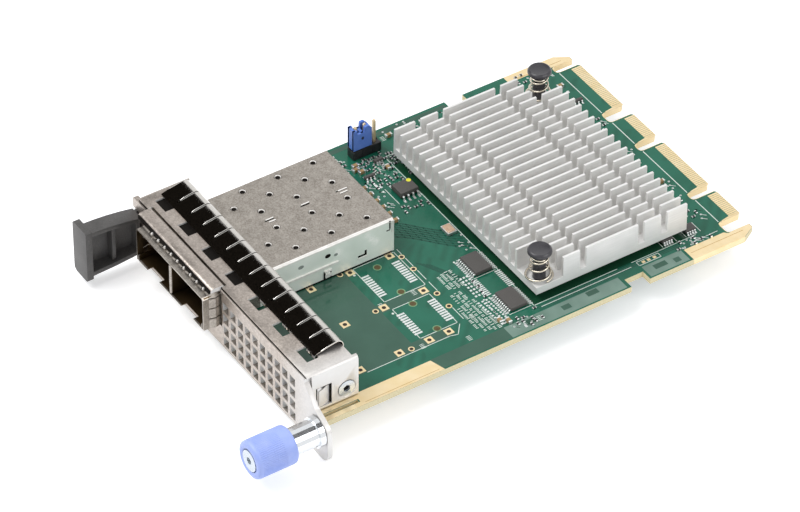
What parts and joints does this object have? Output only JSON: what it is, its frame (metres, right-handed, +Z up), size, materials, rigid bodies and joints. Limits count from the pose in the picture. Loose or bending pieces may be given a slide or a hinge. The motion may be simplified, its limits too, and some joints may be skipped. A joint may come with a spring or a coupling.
{
  "type": "ethernet adapter card",
  "caption": "Small-form-factor network card: green board with finned heatsink, ganged transceiver cage, vented steel faceplate with hood, pull tab and captive thumbscrew.",
  "frame": {"origin": "centre of the circuit board's underside", "axes": "+X across the card towards the thumbscrew, +Y along the card towards the contact tabs, +Z up from the board"},
  "size_m": [0.0832, 0.1353, 0.0202],
  "materials": {
    "solder_mask": "satin solder mask",
    "aluminium": "extruded, clear anodised",
    "mould_compound": "matt",
    "thermal_pad": "soft",
    "nylon": "moulded",
    "spring_steel": "bright",
    "plated_steel": "nickel plated",
    "connector_plastic": "moulded",
    "screw_steel": "plated",
    "tab_plastic": "fine texture",
    "chrome_plate": "polished",
    "knob_plastic": "moulded",
    "gold_plate": "bright plated",
    "shunt_plastic": "moulded",
    "lid_metal": "satin"
  },
  "bodies": {
    "card": {"circuit_board": "solder_mask", "heatsink": "aluminium", "controller_chip": "mould_compound", "thermal_pad": "thermal_pad", "push_pin_front": "nylon", "push_pin_rear": "nylon", "push_pin_spring_front": "spring_steel", "push_pin_spring_rear": "spring_steel", "cage_shell": "plated_steel", "cage_base": "plated_steel", "cage_divider": "plated_steel", "port_connector_left": "connector_plastic", "port_connector_right": "connector_plastic", "faceplate": "plated_steel", "hood": "plated_steel", "emi_finger_strip": "spring_steel", "side_screw_left": "screw_steel", "side_screw_right": "screw_steel", "foot_screw_left": "screw_steel", "foot_screw_right": "screw_steel", "pull_tab": "tab_plastic", "thumbscrew_ferrule": "chrome_plate", "thumbscrew_spring": "spring_steel", "jumper_header": "connector_plastic", "header_pin_front": "gold_plate", "header_pin_middle": "gold_plate", "header_pin_rear": "gold_plate", "jumper_shunt": "shunt_plastic", "driver_chip_left": "mould_compound", "driver_chip_right": "mould_compound", "memory_chip": "mould_compound", "oscillator": "lid_metal", "regulator_right": "mould_compound", "regulator_rear": "mould_compound", "regulator_left": "mould_compound", "transistor": "mould_compound", "logic_gate": "mould_compound"},
    "slider": {"thumbscrew_washer": "screw_steel"},
    "thumbscrew": {"thumbscrew_knob": "knob_plastic", "thumbscrew_screw": "screw_steel"}
  },
  "joints": [
    {"name": "thumbscrew_push", "type": "slide", "parent": "card", "child": "slider", "axis": [0, 1, 0], "range_m": [0, 0.0042], "stiffness_N_per_m": 150, "deforming": ["thumbscrew_spring"]},
    {"name": "thumbscrew_turn", "type": "hinge", "parent": "slider", "child": "thumbscrew", "pos_m": [0.0394, -0.0725, 0.00157], "axis": [0, 1, 0], "continuous": true}
  ]
}
